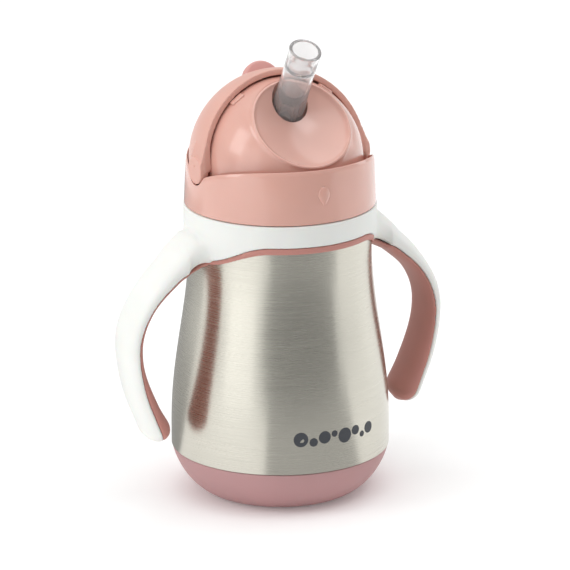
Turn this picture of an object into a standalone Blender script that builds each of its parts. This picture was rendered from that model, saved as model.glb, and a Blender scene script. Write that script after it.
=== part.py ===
"""Insulated steel straw cup with two handles, a screw lid and a swinging hood.

Units are metres and +Z is up. The origin is the centre of the underside. The child drinks from
the -Y side, and the handles stand out along X.
"""

import math

import bmesh
import bpy
from mathutils import Matrix, Vector

MM = 0.001
GAP = 0.3 * MM  # between pieces that touch

# Driving dimensions of the cup
BELLY_R, BELLY_Z = 43.0 * MM, 27.0 * MM
WAIST_R, WAIST_Z = 35.7 * MM, 102.0 * MM
STEEL = 0.8 * MM
PAD_TOP = 18.0 * MM
PAD_FLOOR = 2.2 * MM
FOOT_R, FOOT_Z = 28.0 * MM, 20.0 * MM  # centre of the foot's curve in section
FOOT_POWER = 1.6  # between a chamfer (1) and an ellipse (2)
SHOULDER_Z = 112.3 * MM
NECK_R, NECK_TOP = 33.3 * MM, 122.4 * MM
THREAD_R = 34.2 * MM
LINER_FLOOR = 7.0 * MM

# Handle ring and handles
RING_R, RING_TOP = 37.8 * MM, 116.4 * MM
RING_BORE = 36.1 * MM
RING_LOW = 107.7 * MM  # lower edge at the front and back
RING_DIP = 8.4 * MM  # how much lower it is above each handle
LIP = 2.8 * MM
HANDLE_ROOT = ((36.0, 104.2), (46.8, 97.6), (65.5, 84.0), (65.5, 66.0))  # Bezier in X, Z, mm
HANDLE_DROP = ((65.5, 66.0), (65.5, 52.0), (58.5, 38.5), (52.5, 27.0))

# Lid, hood and spout
SKIRT_R, SKIRT_TOP_R = 37.5 * MM, 36.7 * MM
LID_LOW = RING_TOP + GAP
SEAL_LOW = 123.7 * MM
GUTTER_R, GUTTER_Z = 35.9 * MM, 126.9 * MM
DECK_Z = 125.5 * MM
PIVOT = Vector((0, 0, 133.2 * MM))
DOME_R, DOME_WALL = 32.4 * MM, 2.2 * MM
HOOD_R, HOOD_WALL = 35.6 * MM, 2.4 * MM
EAR_R, EAR_X = 5.6 * MM, 37.0 * MM
PIN_R = 1.5 * MM
DISH_TILT = math.radians(45)
DISH_R, DISH_DEPTH = 19.7 * MM, 4.4 * MM
SPOUT_BASE = Vector((0, -8.4 * MM, 158.3 * MM))
SPOUT_LEAN = math.radians(29.5)
SPOUT_R, SPOUT_LENGTH = 6.2 * MM, 26.3 * MM
PLUG_R = 6.6 * MM
VENT_TILT = math.radians(-40)

# Straw and its weight
STRAW_R, STRAW_BORE = 3.75 * MM, 2.75 * MM
STRAW_Y = 5.5 * MM
STRAW_BEND_END = 118.0 * MM  # below this the tube hangs straight
WEIGHT_Z = 23.6 * MM
CONNECTOR_DROP = 18.0 * MM  # from the spout's base down along its axis

TURN_STEPS = 40
SMALL_STEPS = 24


def clear_scene():
    """Remove whatever the opened file holds."""
    for thing in list(bpy.data.objects):
        bpy.data.objects.remove(thing, do_unlink=True)


def collection(name):
    """Make a collection under the scene's own."""
    group = bpy.data.collections.new(name)
    bpy.context.scene.collection.children.link(group)
    return group


clear_scene()
CUP = collection("straw_cup")
CUTTERS = collection("cutters")


def finish(name, colour, roughness, metallic=0.0):
    """Make a Principled material from an sRGB colour in 0 to 255."""
    made = bpy.data.materials.new(name)
    made.use_nodes = True
    shader = made.node_tree.nodes["Principled BSDF"]
    linear = [((c / 255 + 0.055) / 1.055) ** 2.4 if c > 10 else c / 255 / 12.92 for c in colour]
    shader.inputs["Base Color"].default_value = (*linear, 1)
    shader.inputs["Roughness"].default_value = roughness
    shader.inputs["Metallic"].default_value = metallic
    return made


BRUSHED = finish("brushed_steel", (196, 192, 184), 0.32, 1.0)
BRIGHT = finish("bright_steel", (205, 203, 198), 0.2, 1.0)
PINK = finish("pink_plastic", (228, 178, 165), 0.4)
MAUVE = finish("mauve_pad", (186, 150, 150), 0.6)
WHITE = finish("white_plastic", (240, 241, 236), 0.45)
GRIP = finish("soft_grip", (196, 140, 130), 0.65)
CLEAR = finish("clear_silicone", (226, 226, 222), 0.15)
RUBBER = finish("white_silicone", (232, 230, 226), 0.5)


def place(obj, material, at=(0, 0, 0), turn=None, cutter=False):
    """Link an object, set its place, and dress it."""
    (CUTTERS if cutter else CUP).objects.link(obj)
    obj.location = at
    if turn is not None:
        obj.rotation_euler = turn.to_euler()
    if cutter:
        obj.hide_render = True
        obj.display_type = "WIRE"
    else:
        obj.data.materials.append(material)
    bpy.context.view_layer.update()
    return obj


def from_bmesh(name, bm):
    """Turn a bmesh into an object that is shaded smooth except at its sharp edges."""
    mesh = bpy.data.meshes.new(name)
    bm.to_mesh(mesh)
    bm.free()
    mesh.shade_smooth()
    mesh.set_sharp_from_angle(angle=math.radians(35))
    return bpy.data.objects.new(name, mesh)


def turned(name, profile, material=None, steps=TURN_STEPS, at=(0, 0, 0), turn=None, cutter=False):
    """Turn a profile of (radius, height) about Z with a Screw modifier.

    The profile runs down the outer side. It is a closed loop, unless both its ends are on the axis.
    """
    mesh = bpy.data.meshes.new(name)
    count = len(profile)
    open_ends = profile[0][0] == 0 and profile[-1][0] == 0
    edges = [(i, i + 1) for i in range(count - 1)] + ([] if open_ends else [(count - 1, 0)])
    mesh.from_pydata([(r, 0, z) for r, z in profile], edges, [])
    obj = bpy.data.objects.new(name, mesh)
    screw = obj.modifiers.new("turn", "SCREW")
    screw.axis = "Z"
    screw.steps = screw.render_steps = steps
    screw.use_merge_vertices = True
    screw.merge_threshold = 0.01 * MM
    screw.use_smooth_shade = True
    return place(obj, material, at, turn, cutter)


def frozen(obj, reshape=None):
    """Replace an object's modifiers by the mesh they give, and optionally move its points."""
    bpy.context.view_layer.update()
    evaluated = obj.evaluated_get(bpy.context.evaluated_depsgraph_get())
    mesh = bpy.data.meshes.new_from_object(evaluated)
    obj.modifiers.clear()
    obj.data = mesh
    if reshape:
        for vertex in mesh.vertices:
            vertex.co = reshape(vertex.co)
    return obj


def ball(name, radius, at, steps=32, turn=None):
    """A sphere that cuts."""
    bm = bmesh.new()
    bmesh.ops.create_uvsphere(bm, u_segments=steps, v_segments=steps // 2, radius=radius)
    return place(from_bmesh(name, bm), None, at, turn, cutter=True)


def rod(name, radius, low, high, at, turn, material=None, cutter=True, steps=SMALL_STEPS):
    """A cylinder from low to high along its own axis."""
    bm = bmesh.new()
    middle = Matrix.Translation((0, 0, (low + high) / 2))
    bmesh.ops.create_cone(bm, cap_ends=True, segments=steps, radius1=radius, radius2=radius,
                          depth=high - low, matrix=middle)
    return place(from_bmesh(name, bm), material, at, turn, cutter)


def block(name, low, high):
    """A box that cuts."""
    bm = bmesh.new()
    size = [b - a for a, b in zip(low, high)]
    centre = [(a + b) / 2 for a, b in zip(low, high)]
    bmesh.ops.create_cube(bm, size=1, matrix=Matrix.Translation(centre) @ Matrix.Diagonal((*size, 1)))
    return place(from_bmesh(name, bm), None, cutter=True)


def combine(obj, other, operation="DIFFERENCE"):
    """Cut one object by another, or join it on."""
    step = obj.modifiers.new(other.name, "BOOLEAN")
    step.operation = operation
    step.solver = "EXACT"
    step.object = other
    return obj


def loft(name, sections, material):
    """Skin closed sections of equal point counts, with flat ends."""
    bm = bmesh.new()
    rings = [[bm.verts.new(point) for point in section] for section in sections]
    for ring, following in zip(rings, rings[1:]):
        for i in range(len(ring)):
            j = (i + 1) % len(ring)
            bm.faces.new((ring[i], ring[j], following[j], following[i]))
    bm.faces.new(rings[0])
    bm.faces.new(rings[-1])
    bmesh.ops.recalc_face_normals(bm, faces=bm.faces)
    return place(from_bmesh(name, bm), material)


def pipe(name, route, radius, material=None):
    """A round bar along a route of points, as a closed mesh; without a material it cuts."""
    curve = bpy.data.curves.new(name, "CURVE")
    curve.dimensions = "3D"
    spline = curve.splines.new("POLY")
    spline.points.add(len(route) - 1)
    for point, spot in zip(spline.points, route):
        point.co = (*spot, 1)
    curve.bevel_depth = radius
    curve.bevel_resolution = 2
    curve.use_fill_caps = True
    guide = place(bpy.data.objects.new(name + "_guide", curve), None, cutter=True)
    solid = guide.evaluated_get(bpy.context.evaluated_depsgraph_get())
    bm = bmesh.new()
    bm.from_mesh(bpy.data.meshes.new_from_object(solid))
    bmesh.ops.remove_doubles(bm, verts=bm.verts, dist=0.01 * MM)
    made = place(from_bmesh(name, bm), material, cutter=material is None)
    bpy.data.objects.remove(guide)
    return made


def arc(centre, radius, start, end, count):
    """Points of a circle in section, with angles in degrees from the outward direction."""
    angles = [math.radians(start + (end - start) * i / (count - 1)) for i in range(count)]
    return [(centre[0] + radius * math.cos(a), centre[1] + radius * math.sin(a)) for a in angles]


def smooth(value):
    """Ease from 0 to 1."""
    value = min(max(value, 0.0), 1.0)
    return value * value * (3 - 2 * value)


def from_front(point):
    """Angle of a point from the nearer of front and back, in degrees."""
    return math.degrees(math.atan2(abs(point.x), abs(point.y)))


# Cup

def body_radius(z, belly=BELLY_R, waist=WAIST_R):
    """Radius of the body: a smooth swing from the waist out to the belly."""
    share = min(max((z - BELLY_Z) / (WAIST_Z - BELLY_Z), 0.0), 1.0)
    return waist + (belly - waist) * (0.5 + 0.5 * math.cos(math.pi * share))


def body_side(high, low, inset=0.0, belly=BELLY_R, waist=WAIST_R, count=7):
    """The body's side in section, from high to low."""
    heights = [high + (low - high) * i / (count - 1) for i in range(count)]
    return [(body_radius(z, belly, waist) - inset, z) for z in heights]


def foot(inset, top, rim_r, count=8):
    """The foot's curve in section, from the height top down to the radius rim_r."""
    wide, tall = BELLY_R - FOOT_R - inset, FOOT_Z - inset
    start = math.asin(((FOOT_Z - top) / tall) ** (FOOT_POWER / 2))
    share = max(rim_r - FOOT_R, 0.0) / wide
    end = math.acos(share ** (FOOT_POWER / 2))
    points = []
    for i in range(count):
        a = start + (end - start) * i / (count - 1)
        points.append((FOOT_R + wide * max(math.cos(a), 0.0) ** (2 / FOOT_POWER),
                       FOOT_Z - tall * math.sin(a) ** (2 / FOOT_POWER)))
    return points


def build_cup():
    """Base pad, the two steel walls, and what closes the space between them."""
    inside = foot(PAD_FLOOR, PAD_TOP, 0.0, count=5)
    turned("base_pad", [(0, PAD_FLOOR)] + inside[::-1] + foot(0.0, PAD_TOP, 0.0) + [(0, 0)], MAUVE)

    step = PAD_TOP + GAP
    skin = PAD_FLOOR + GAP
    opening = 30.0 * MM
    threads = []
    for z in (120.8 * MM, 116.9 * MM):
        threads += [(NECK_R, z + 0.9 * MM), (THREAD_R, z), (NECK_R, z - 0.9 * MM)]
    corner = 0.9 * MM
    outside = [(NECK_R, NECK_TOP), *threads, (NECK_R, SHOULDER_Z)]
    outside += arc((WAIST_R - corner, SHOULDER_Z - corner), corner, 90, 0, 3)
    outside += body_side(WAIST_Z, step, count=10) + foot(skin, step, opening, count=5)
    lining = foot(skin + STEEL, step + STEEL, opening, count=5)[::-1]
    lining += body_side(WAIST_Z, step + STEEL, STEEL)[::-1]
    lining += [(WAIST_R - STEEL, SHOULDER_Z - 2 * STEEL), (NECK_R - STEEL, SHOULDER_Z - STEEL)]
    turned("outer_shell", outside + lining + [(NECK_R - STEEL, NECK_TOP)], BRUSHED)

    disc = opening - GAP
    top = skin + 2 * STEEL
    turned("shell_bottom", [(0, top), (disc - 2 * MM, top), (disc, top - STEEL), (disc, skin + STEEL / 2),
                            (disc - 1.4 * MM, skin), (0, skin)], BRIGHT)
    turned("vacuum_cap", [(0, top + GAP + 1.2 * MM), (4 * MM, top + GAP + 1.2 * MM),
                          (4.6 * MM, top + GAP), (0, top + GAP)], BRIGHT, SMALL_STEPS)

    belly, waist = BELLY_R - 4.0 * MM, 31.8 * MM
    mouth = NECK_R - STEEL - GAP
    lip = NECK_TOP + GAP
    bend = 12 * MM
    outside = [(mouth + 1.4 * MM, lip + 0.7 * MM), (mouth + 1.4 * MM, lip), (mouth, lip)]
    outside += [(mouth, SHOULDER_Z - 1 * MM)]
    outside += body_side(WAIST_Z, LINER_FLOOR + bend, 0.0, belly, waist)
    outside += arc((belly - bend, LINER_FLOOR + bend), bend, 0, -90, 4)[1:]
    lining = arc((belly - bend, LINER_FLOOR + bend), bend - STEEL, -90, 0, 4)
    lining += body_side(WAIST_Z, LINER_FLOOR + bend, STEEL, belly, waist)[-2::-1]
    lining += [(mouth - STEEL, SHOULDER_Z - 1 * MM), (mouth - STEEL, lip + 0.7 * MM)]
    floor = [(0, LINER_FLOOR + STEEL)]
    turned("inner_liner", floor + lining + outside + [(0, LINER_FLOOR)], BRIGHT)


# Handle ring and handles

def edge_dip(point):
    """Share of the way down to the ring's lowest edge, above the handles."""
    return smooth((from_front(point) - 33) / 45)


def build_ring():
    """White ring on the shoulder, and the soft lip under it."""
    profile = [(RING_R - 0.4 * MM, RING_TOP), (RING_R, RING_TOP - 0.4 * MM), (RING_R, RING_LOW),
               (RING_BORE, RING_LOW), (RING_BORE, SHOULDER_Z + GAP), (THREAD_R + GAP, SHOULDER_Z + GAP),
               (THREAD_R + GAP, RING_TOP)]
    ring = turned("handle_ring", profile, WHITE)

    def sink_edge(point):
        if point.z < RING_LOW + GAP:
            point.z -= RING_DIP * edge_dip(point)
        return point

    frozen(ring, sink_edge)

    top = RING_LOW - GAP
    lip = turned("lip_band", [(RING_R, top), (RING_R - 0.2 * MM, top - LIP + 1 * MM),
                              (RING_R - 0.9 * MM, top - LIP + GAP), (RING_BORE, top - LIP + GAP),
                              (RING_BORE, top)], GRIP)

    def sink_lip(point):
        thinning = 1.0 * MM * (top - point.z) / LIP
        point.z -= (RING_DIP - thinning) * edge_dip(point)
        return point

    frozen(lip, sink_lip)


def bezier(points, t):
    """A point of a cubic curve and its direction, both in the X, Z plane."""
    a, b, c, d = (Vector((x * MM, z * MM)) for x, z in points)
    s = 1 - t
    spot = s ** 3 * a + 3 * s * s * t * b + 3 * s * t * t * c + t ** 3 * d
    along = s * s * (b - a) + 2 * s * t * (c - b) + t * t * (d - c)
    return spot, along.normalized()


# Along the handle: share of its length, thickness, width, and where the seam lies in the thickness
STATIONS = ((0.00, 15.0, 24.4, -0.70), (0.09, 10.8, 21.8, -0.52), (0.18, 9.0, 20.3, -0.40),
            (0.34, 7.6, 19.6, -0.28), (0.55, 7.3, 19.4, -0.14), (0.80, 9.2, 19.8, 0.06),
            (1.00, 11.2, 20.2, 0.22))
SECTION_POWER = 2.15
TIP_SHARE = 0.91  # where the rounded tip begins


def station(t):
    """Thickness, width and seam at a share of the handle's length."""
    for before, after in zip(STATIONS, STATIONS[1:]):
        if t <= after[0]:
            share = smooth((t - before[0]) / (after[0] - before[0]))
            return [a + (b - a) * share for a, b in zip(before[1:], after[1:])]
    return list(STATIONS[-1][1:])


def handle_section(t, side, outer, count=13):
    """Half of the handle's rounded section: the outer shell, or the inner grip."""
    spot, along = bezier(HANDLE_ROOT, 2 * t) if t < 0.5 else bezier(HANDLE_DROP, 2 * t - 1)
    outward = Vector((-along.y, along.x))
    thick, wide, seam = station(t)
    if t > TIP_SHARE:
        shrink = math.sqrt(max(1 - ((t - TIP_SHARE) / (1 - TIP_SHARE)) ** 2, 0.1))
        thick, wide = thick * shrink, wide * (0.4 + 0.6 * shrink)
    half_t, half_w = thick / 2 * MM, wide / 2 * MM
    cut = seam + (GAP / 2 if outer else -GAP / 2) / half_t
    turn = math.acos(math.copysign(abs(cut) ** (SECTION_POWER / 2), cut))
    first, last = (-turn, turn) if outer else (turn, 2 * math.pi - turn)
    section = []
    for i in range(count):
        a = first + (last - first) * i / (count - 1)
        n = math.copysign(abs(math.cos(a)) ** (2 / SECTION_POWER), math.cos(a)) * half_t
        y = math.copysign(abs(math.sin(a)) ** (2 / SECTION_POWER), math.sin(a)) * half_w
        x, z = spot + outward * n
        section.append(Vector((side * x, y, z)))
    return section


def build_handles():
    """A white outer shell and a soft grip for each handle, ending just off the ring."""
    count = 22
    shares = [i / (count - 1) for i in range(count)]
    clear = turned("ring_clearance", [(0, 125 * MM), (RING_R + GAP, 125 * MM), (RING_R + GAP, 80 * MM),
                                      (0, 80 * MM)], cutter=True)
    for side, word in ((-1, "left"), (1, "right")):
        shell = loft(f"handle_{word}", [handle_section(t, side, True) for t in shares], WHITE)
        grip = loft(f"grip_{word}", [handle_section(t, side, False) for t in shares], GRIP)
        combine(shell, clear)
        combine(grip, clear)


# Lid

def rim_height(point):
    """Height of the lid's rim: high at the front and back, lower at the hood's ears."""
    return RING_TOP + (21.2 - 8.8 * (from_front(point) / 90) ** 3.3) * MM


def spout_frame():
    """Place and turn of things on the spout's axis."""
    return SPOUT_BASE, Matrix.Rotation(SPOUT_LEAN, 4, "X")


def build_lid():
    """Skirt, gutter and dome with the spout's dish, in one moulding, and its seal."""
    nominal = 138 * MM
    thread_in = THREAD_R + GAP
    crest = []
    for z in (118.8 * MM, 122.8 * MM):
        crest += [(35.5 * MM, z - 0.9 * MM), (thread_in, z), (35.5 * MM, z + 0.9 * MM)]
    floor_angle = math.degrees(math.asin((GUTTER_Z - PIVOT.z) / DOME_R))
    profile = [(0, PIVOT.z + DOME_R)] + arc((0, PIVOT.z), DOME_R, 90, floor_angle, 14)[1:]
    profile += [(GUTTER_R, GUTTER_Z), (GUTTER_R, nominal), (GUTTER_R + 0.4 * MM, nominal + 0.4 * MM),
                (SKIRT_TOP_R, nominal), (SKIRT_R, LID_LOW), (35.5 * MM, LID_LOW), *crest,
                (35.5 * MM, DECK_Z), (0, DECK_Z)]
    lid = turned("lid_body", profile, PINK)

    def raise_rim(point):
        if point.xy.length > GUTTER_R - GAP and point.z >= nominal - GAP:
            point.z += rim_height(point) - nominal
        return point

    frozen(lid, raise_rim)

    tilt = Matrix.Rotation(DISH_TILT, 4, "X")
    toward = tilt.to_3x3() @ Vector((0, 0, 1))
    rim_plane = math.sqrt(DOME_R ** 2 - DISH_R ** 2)
    hollow_r = (DISH_R ** 2 + DISH_DEPTH ** 2) / (2 * DISH_DEPTH)
    centre = PIVOT + toward * (rim_plane - DISH_DEPTH + hollow_r)
    base, lean = spout_frame()

    inside = ball("dome_inside", DOME_R - DOME_WALL, PIVOT)
    combine(inside, ball("dish_wall", hollow_r + DOME_WALL, centre, turn=tilt))
    combine(inside, rod("spout_boss", 11.3 * MM, -14 * MM, 20 * MM, base, lean))
    combine(lid, ball("dish", hollow_r, centre, turn=tilt))
    combine(lid, inside)
    combine(lid, rod("spout_pocket", 9.1 * MM, -30 * MM, -8.2 * MM, base, lean))
    combine(lid, rod("spout_hole", PLUG_R + GAP, -30 * MM, 20 * MM, base, lean))
    vent = Matrix.Rotation(VENT_TILT, 4, "X")
    combine(lid, rod("vent_hole", 2.4 * MM, 25 * MM, 38 * MM, PIVOT, vent))
    across = Matrix.Rotation(math.pi / 2, 4, "Y")
    combine(lid, rod("pin_hole", PIN_R + GAP, -34 * MM, 34 * MM, PIVOT, across))
    for side in (-1, 1):
        ends = sorted((side * 32.9 * MM, side * 41 * MM))
        notch_r = EAR_R + 0.4 * MM
        combine(lid, rod(f"ear_notch_{side}", notch_r, *ends, PIVOT, across))
        combine(lid, block(f"ear_slot_{side}", (ends[0], -notch_r, PIVOT.z),
                           (ends[1], notch_r, PIVOT.z + 20 * MM)))

    turned("lid_seal", [(34.2 * MM, DECK_Z - GAP), (34.2 * MM, SEAL_LOW), (30.5 * MM, SEAL_LOW),
                        (30.5 * MM, DECK_Z - GAP)], RUBBER)
    turned("vent_valve", [(2.1 * MM, 32.0 * MM), (2.1 * MM, 29.4 * MM), (4.2 * MM, 29.4 * MM),
                          (4.2 * MM, 28.4 * MM), (2.2 * MM, 28.4 * MM), (1.2 * MM, 24 * MM),
                          (0.6 * MM, 24 * MM), (0.6 * MM, 32.0 * MM)],
           RUBBER, SMALL_STEPS, PIVOT, vent)


def build_hood():
    """Quarter-ball hood with an ear at each side, its thumb tab, and the two pivot pins."""
    bm = bmesh.new()
    bmesh.ops.create_uvsphere(bm, u_segments=40, v_segments=20, radius=HOOD_R)
    front = (Vector((0, -5.7 * MM, 0)), Vector((0, -1, 0.2)))
    sag = math.radians(5)
    below = (Vector((0, 0, -0.4 * MM)), Vector((0, -math.sin(sag), -math.cos(sag))))
    for point, away in (front, below):
        bmesh.ops.bisect_plane(bm, geom=bm.verts[:] + bm.edges[:] + bm.faces[:], dist=0.001 * MM,
                               plane_co=point, plane_no=away, clear_outer=True)
    hood = place(from_bmesh("hood", bm), PINK, PIVOT)
    shell = hood.modifiers.new("wall", "SOLIDIFY")
    shell.thickness = HOOD_WALL
    shell.offset = -1
    across = Matrix.Rotation(math.pi / 2, 4, "Y")
    for side in (-1, 1):
        ends = sorted((side * 34.1 * MM, side * EAR_X))
        combine(hood, rod(f"ear_{side}", EAR_R, *ends, PIVOT, across), "UNION")
    combine(hood, rod("ear_bore", PIN_R + GAP, -40 * MM, 40 * MM, PIVOT, across))

    lean_back = Matrix.Rotation(math.radians(-30), 4, "X")
    tab_r, tab_thick = 8.0 * MM, 4.0 * MM
    up = lean_back.to_3x3() @ Vector((0, 0, 1))
    tab_centre = PIVOT + up * (39.8 * MM - tab_r)
    facing = lean_back @ Matrix.Rotation(math.pi / 2, 4, "X")
    tab = rod("hood_tab", tab_r, -tab_thick / 2, tab_thick / 2, tab_centre, facing, MAUVE, cutter=False)
    combine(tab, ball("hood_clearance", HOOD_R + GAP, PIVOT, 48))

    for side, word in ((-1, "left"), (1, "right")):
        turn = Matrix.Rotation(side * math.pi / 2, 4, "Y")
        turned(f"pivot_pin_{word}", [(0, 36.9 * MM), (PIN_R, 36.9 * MM), (PIN_R, 29.6 * MM),
                                     (2.6 * MM, 29.6 * MM), (2.6 * MM, 28.4 * MM), (0, 28.4 * MM)],
               PINK, SMALL_STEPS, PIVOT, turn)


def build_spout():
    """Soft spout with its valve, and the ring that holds it in the lid."""
    base, lean = spout_frame()
    tip = SPOUT_LENGTH
    bore, wide_bore = STRAW_BORE, SPOUT_R - 1.2 * MM
    tail = -CONNECTOR_DROP
    profile = [(SPOUT_R - 0.5 * MM, tip), (SPOUT_R, tip - 0.6 * MM), (SPOUT_R, 3 * MM), (6.4 * MM, 0.5 * MM),
               (PLUG_R, 0), (PLUG_R, -8.5 * MM), (8.8 * MM, -8.5 * MM), (8.8 * MM, -10.2 * MM),
               (4.6 * MM, -10.2 * MM), (4.6 * MM, tail), (bore, tail), (bore, 2 * MM),
               (wide_bore, 8 * MM), (wide_bore, 18 * MM), (1 * MM, 15.5 * MM), (1 * MM, 16.3 * MM),
               (wide_bore, 19.3 * MM), (wide_bore, tip - 0.4 * MM), (wide_bore + 0.4 * MM, tip)]
    turned("spout", profile, CLEAR, SMALL_STEPS, base, lean)
    turned("spout_retainer", [(8.8 * MM, -10.5 * MM), (8.8 * MM, -13.2 * MM), (4.9 * MM, -13.2 * MM),
                              (4.9 * MM, -10.5 * MM)], PINK, SMALL_STEPS, base, lean)
    stub = STRAW_BORE - GAP
    turned("straw_connector", [(stub, tail + 6 * MM), (stub, tail - GAP), (4.4 * MM, tail - GAP),
                               (4.4 * MM, tail - 1.5 * MM), (stub, tail - 1.5 * MM), (stub, tail - 5 * MM),
                               (1.5 * MM, tail - 5 * MM), (1.5 * MM, tail + 6 * MM)],
           RUBBER, 16, base, lean)


def build_straw():
    """Straw tube down to a weight, made of a steel ring in a two-part shell."""
    base, lean = spout_frame()
    down = -(lean.to_3x3() @ Vector((0, 0, 1)))
    start = base + down * (CONNECTOR_DROP + 1.5 * MM + GAP)
    bottom = WEIGHT_Z + 7 * MM
    bend_end = Vector((0, STRAW_Y, STRAW_BEND_END))
    elbow = start + down * 11 * MM
    hang = bend_end + Vector((0, 0, 10 * MM))
    route = [start]
    for i in range(1, 9):
        t = i / 8
        s = 1 - t
        route.append(s ** 3 * start + 3 * s * s * t * elbow + 3 * s * t * t * hang + t ** 3 * bend_end)
    fall = bottom - STRAW_BEND_END
    route += [Vector((0, STRAW_Y, STRAW_BEND_END + fall * i / 4)) for i in range(1, 5)]
    past = [start - down * 3 * MM] + route + [route[-1] - Vector((0, 0, 3 * MM))]
    combine(pipe("straw_tube", route, STRAW_R, CLEAR), pipe("straw_bore", past, STRAW_BORE))

    at = Vector((0, STRAW_Y, WEIGHT_Z))
    collar = STRAW_R + GAP
    turned("weight_core", [(8.0 * MM, 4.5 * MM), (8.0 * MM, -4.5 * MM), (4.6 * MM, -4.5 * MM),
                           (4.6 * MM, 4.5 * MM)], BRIGHT, SMALL_STEPS, at)
    turned("weight_shell_top", [(5.3 * MM, 13 * MM), (5.3 * MM, 8.6 * MM), (7.6 * MM, 7.4 * MM),
                                (9.1 * MM, 5.2 * MM), (9.6 * MM, 2 * MM), (9.6 * MM, GAP / 2),
                                (8.3 * MM, GAP / 2), (8.3 * MM, 4.8 * MM), (collar, 5.8 * MM),
                                (collar, 13 * MM)], RUBBER, SMALL_STEPS, at)
    turned("weight_shell_bottom", [(9.6 * MM, -GAP / 2), (9.6 * MM, -2 * MM), (9.1 * MM, -5.2 * MM),
                                   (7.2 * MM, -7.8 * MM), (4 * MM, -9 * MM), (2 * MM, -9 * MM),
                                   (2 * MM, -6 * MM), (8.3 * MM, -4.8 * MM), (8.3 * MM, -GAP / 2)],
           RUBBER, SMALL_STEPS, at)


build_cup()
build_ring()
build_handles()
build_lid()
build_hood()
build_spout()
build_straw()
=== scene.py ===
"""Finished look of the steel straw cup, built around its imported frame.

Units are metres in the frame; sizes below are in millimetres and turned into metres by MM.
The child drinks from the -Y side, and the handles stand out along X.
"""

import logging
import math
from collections.abc import Callable, Iterable, Sequence
from dataclasses import dataclass
from enum import Enum

import bmesh
import bpy
from mathutils import Matrix, Vector


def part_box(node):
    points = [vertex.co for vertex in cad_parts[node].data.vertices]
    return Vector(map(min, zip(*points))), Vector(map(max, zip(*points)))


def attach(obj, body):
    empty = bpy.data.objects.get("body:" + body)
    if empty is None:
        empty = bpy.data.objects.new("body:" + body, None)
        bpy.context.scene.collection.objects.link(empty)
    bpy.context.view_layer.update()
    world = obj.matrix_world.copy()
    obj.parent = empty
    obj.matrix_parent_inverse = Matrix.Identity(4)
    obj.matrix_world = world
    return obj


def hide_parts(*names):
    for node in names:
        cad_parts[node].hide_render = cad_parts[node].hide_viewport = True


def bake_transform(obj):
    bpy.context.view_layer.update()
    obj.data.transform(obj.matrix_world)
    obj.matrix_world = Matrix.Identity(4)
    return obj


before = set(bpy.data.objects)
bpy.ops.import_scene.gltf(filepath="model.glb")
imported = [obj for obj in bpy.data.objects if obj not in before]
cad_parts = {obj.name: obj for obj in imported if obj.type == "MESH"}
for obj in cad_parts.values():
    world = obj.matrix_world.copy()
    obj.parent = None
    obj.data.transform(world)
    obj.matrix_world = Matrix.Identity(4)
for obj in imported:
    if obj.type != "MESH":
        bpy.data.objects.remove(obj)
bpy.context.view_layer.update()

LOG = logging.getLogger("straw_cup")
MM = 0.001
FINE_STEPS = 144
SMALL_STEPS = 64
PITCH = 3.6  # of the neck's thread and the lid's, in millimetres

Corner = tuple[float, float, float]
Bend = Callable[[Vector], Vector]


class Body(Enum):
    """The frame's bodies that carry finished pieces."""

    CUP = "cup"
    HANDLES = "handles"
    LID = "lid"
    HOOD = "hood"
    SPOUT = "spout"
    STRAW = "straw"


class Slot(Enum):
    """The record's material slots."""

    BRUSHED = "brushed_steel"
    BRIGHT = "bright_steel"
    PINK = "pink_plastic"
    MAUVE = "mauve_pad"
    WHITE = "white_plastic"
    GRIP = "soft_grip"
    CLEAR = "clear_silicone"
    RUBBER = "white_silicone"


# Shapes


def ease(value: float) -> float:
    """Ease from 0 to 1 and stay there."""
    value = min(max(value, 0.0), 1.0)
    return value * value * (3 - 2 * value)


def from_front(point: Vector) -> float:
    """Angle of a point from the nearer of front and back, in degrees."""
    return math.degrees(math.atan2(abs(point.x), abs(point.y)))


def rounded(corners: Sequence[Corner], closed: bool = True, count: int = 4) -> list[tuple[float, float]]:
    """Round the corners of an outline.

    Args:
        corners: Corners as (radius from the axis, height, rounding) in millimetres.
        closed: Whether the last corner joins the first.
        count: Steps in each rounded corner.

    Returns:
        The outline's points in metres.
    """
    points = []
    total = len(corners)
    for i, (r, z, fillet) in enumerate(corners):
        here = Vector((r, z))
        if fillet <= 0 or (not closed and i in (0, total - 1)):
            points.append(here)
            continue
        before = Vector(corners[i - 1][:2]) - here
        after = Vector(corners[(i + 1) % total][:2]) - here
        reach = min(fillet, before.length * 0.48, after.length * 0.48)
        start, end = here + before.normalized() * reach, here + after.normalized() * reach
        for k in range(count + 1):
            t = k / count
            points.append(start.lerp(here, t).lerp(here.lerp(end, t), t))
    return [(p.x * MM, p.y * MM) for p in points]


def arc(centre: tuple[float, float], radius: float, start: float, end: float, count: int) -> list[Corner]:
    """Points of a circle in section, with angles in degrees from the outward direction, unrounded."""
    angles = [math.radians(start + (end - start) * i / (count - 1)) for i in range(count)]
    return [(centre[0] + radius * math.cos(a), centre[1] + radius * math.sin(a), 0.0) for a in angles]


def lathe(outline: Sequence[tuple[float, float]], steps: int = FINE_STEPS) -> bmesh.types.BMesh:
    """Spin an outline of (radius, height) about Z into a closed solid."""
    bm = bmesh.new()
    verts = [bm.verts.new((r, 0.0, z)) for r, z in outline]
    on_axis = outline[0][0] == 0 and outline[-1][0] == 0
    pairs = list(zip(verts, verts[1:])) + ([] if on_axis else [(verts[-1], verts[0])])
    edges = [bm.edges.new(pair) for pair in pairs]
    bmesh.ops.spin(bm, geom=verts + edges, cent=(0, 0, 0), axis=(0, 0, 1), angle=math.tau,
                   steps=steps, use_merge=True)
    bmesh.ops.remove_doubles(bm, verts=bm.verts, dist=0.002 * MM)
    bmesh.ops.recalc_face_normals(bm, faces=bm.faces)
    return bm


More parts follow.
